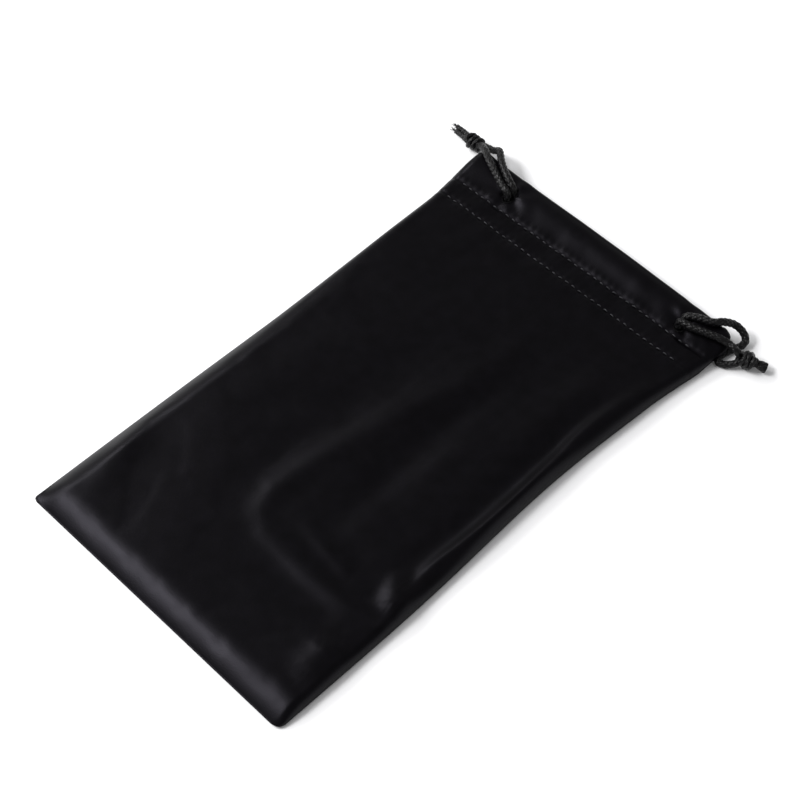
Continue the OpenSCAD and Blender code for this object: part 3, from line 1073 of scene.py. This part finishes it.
LEFT_AXIS = (-5.57, -0.58, 0)
RIGHT_AXIS = (4.1, 2.09, 0)
LEFT_KNOT_LENGTH = 6.6
RIGHT_KNOT_LENGTH = 5.2
KNOT_CORE_R = 0.85
LEFT_WRAP_R = 1.85
RIGHT_WRAP_R = 2.1


def frayed(u):
    """Radius along a cut tail, which thins towards its tip."""
    return mix(0.95, 0.8, u)


def fused(u):
    """Radius along a tail whose tip has been melted into a small bead."""
    return mix(0.72, 1.2, ease((u - 0.3) / 0.5))


def knot_centre(node):
    """Middle of a knot's box."""
    low, high = box_mm(node)
    return (low + high) / 2


def beside(tail, offset):
    """The tail moved sideways, so that two ends lie side by side."""
    return [(x - offset * 0.45, y + offset * 0.9, z) for x, y, z in tail]


left_knot_at = knot_centre("left_knot")
right_knot_at = knot_centre("right_knot")
cord_end("left_cord_short_end", LEFT_UPPER_ROUTE,
         knot_turns(left_knot_at, LEFT_AXIS, LEFT_KNOT_LENGTH, KNOT_CORE_R, LEFT_WRAP_R, 20),
         LEFT_SHORT_TAIL, frayed,
         ["left_upper_strand", "left_knot", "left_tails"])
cord_end("left_cord_long_end", LEFT_LOWER_ROUTE,
         knot_turns(left_knot_at, LEFT_AXIS, LEFT_KNOT_LENGTH, KNOT_CORE_R, LEFT_WRAP_R, 200),
         LEFT_LONG_TAIL, frayed,
         ["left_lower_strand"])
cord_end("right_cord_looped_end", RIGHT_UPPER_ROUTE,
         knot_turns(right_knot_at, RIGHT_AXIS, RIGHT_KNOT_LENGTH, KNOT_CORE_R, RIGHT_WRAP_R, 60),
         beside(RIGHT_TAIL, 0.5), fused,
         ["right_upper_strand", "right_knot", "right_tail"])
cord_end("right_cord_straight_end", RIGHT_LOWER_ROUTE,
         knot_turns(right_knot_at, RIGHT_AXIS, RIGHT_KNOT_LENGTH, KNOT_CORE_R, RIGHT_WRAP_R, 240),
         beside(RIGHT_TAIL, -0.5), fused,
         ["right_lower_strand"])


FILAMENTS = 16
FILAMENT_R = 0.09


def frayed_ends(name, tips):
    """Loose filaments that fan out of the cut ends of the left cord."""
    parts = Parts()
    for tip, heading in tips:
        tip, heading = np.array(tip, float), np.array(heading, float)
        heading /= np.linalg.norm(heading)
        for _ in range(FILAMENTS):
            spread = rng.normal(0, 0.33, 3)
            spread[2] = abs(spread[2]) * 0.6
            reach = rng.uniform(0.9, 2.3)
            start = tip - heading * 1.0 + rng.normal(0, 0.2, 3)
            path = smooth_curve(
                [start, tip + heading * reach * 0.45 + spread * 0.4, tip + heading * reach + spread], 0.25
            )
            path[:, 2] = np.maximum(path[:, 2], FILAMENT_R + 0.03)
            parts.add(path, plain(FILAMENT_R), 5)
    made = parts.build(name)
    finish_piece(made, CORD_MATERIAL)
    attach(made, "left_pull")


frayed_ends(
    "left_frayed_ends",
    [
        (LEFT_SHORT_TAIL[-1], np.subtract(LEFT_SHORT_TAIL[-1], LEFT_SHORT_TAIL[-2])),
        (LEFT_LONG_TAIL[-1], np.subtract(LEFT_LONG_TAIL[-1], LEFT_LONG_TAIL[-2])),
    ],
)


# Heights of a cord's front and back runs, half the length of a run, and its radius
RUN_TOP_Z = 4.2
RUN_LOW_Z = 1.4
RUN_REACH = 42.0
RUN_R = 0.8


def casing_cord(name, node_stem):
    """The part of a drawcord that lies in both casings, as one ring."""
    low, high = box_mm(f"{node_stem}_front_run")
    y = (low[1] + high[1]) / 2
    turn = (RUN_TOP_Z - RUN_LOW_Z) / 2
    ring = []
    for side, z in ((1, RUN_LOW_Z), (-1, RUN_TOP_Z)):
        for t in np.linspace(-1, 1, 24):
            ring.append((t * RUN_REACH * side, y + 0.25 * math.sin(9 * t), z))
        for a in np.radians(np.linspace(-90, 90, 9)[1:-1]):
            rise = side * turn * math.sin(a)
            ring.append((side * (RUN_REACH + turn * math.cos(a)), y, (RUN_TOP_Z + RUN_LOW_Z) / 2 + rise))
    ring.append(ring[0])
    points, faces = capped_tube(smooth_curve(ring, 0.5), plain(RUN_R), 12)
    made = mesh_object(name, points, faces)
    finish_piece(made, CORD_MATERIAL)
    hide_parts(f"{node_stem}_front_run", f"{node_stem}_back_run", f"{node_stem}_side_turns")
    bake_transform(made)


casing_cord("left_cord_in_casings", "left_cord")
casing_cord("right_cord_in_casings", "right_cord")


# ---------------------------------------------------------------- floor and lights

FLOOR_REACH = 1500
FLOOR_Z = -0.02
FLOOR_CORNERS = [(-1, -1), (1, -1), (1, 1), (-1, 1)]
floor = mesh_object(
    "floor", [(x * FLOOR_REACH, y * FLOOR_REACH, FLOOR_Z) for x, y in FLOOR_CORNERS], [(0, 1, 2, 3)]
)
floor_material = bpy.data.materials.new("pale_floor")
floor_material.use_nodes = True
set_inputs(
    floor_material.node_tree.nodes["Principled BSDF"],
    {"Base Color": (0.92, 0.92, 0.93, 1), "Roughness": 0.9, "Specular IOR Level": 0.1},
)
floor.data.materials.append(floor_material)

world = bpy.data.worlds.new("studio")
bpy.context.scene.world = world
world.use_nodes = True
set_inputs(world.node_tree.nodes["Background"], {"Color": (1, 1, 1, 1), "Strength": 0.46})


LIGHT_DISTANCE = 0.9


def area_light(name, direction, size, power):
    """A soft box that faces the pouch from a direction."""
    data = bpy.data.lights.new(name, "AREA")
    data.shape = "RECTANGLE"
    data.size, data.size_y = size
    data.energy = power
    light = bpy.data.objects.new(name, data)
    bpy.context.scene.collection.objects.link(light)
    heading = Vector(direction).normalized()
    light.location = heading * LIGHT_DISTANCE
    light.rotation_euler = (-heading).to_track_quat("-Z", "Y").to_euler()


area_light("key", (-0.80, -0.10, 0.60), (0.7, 0.22), 5.4)
area_light("fill", (-0.45, -0.47, 0.76), (0.4, 0.25), 6.6)
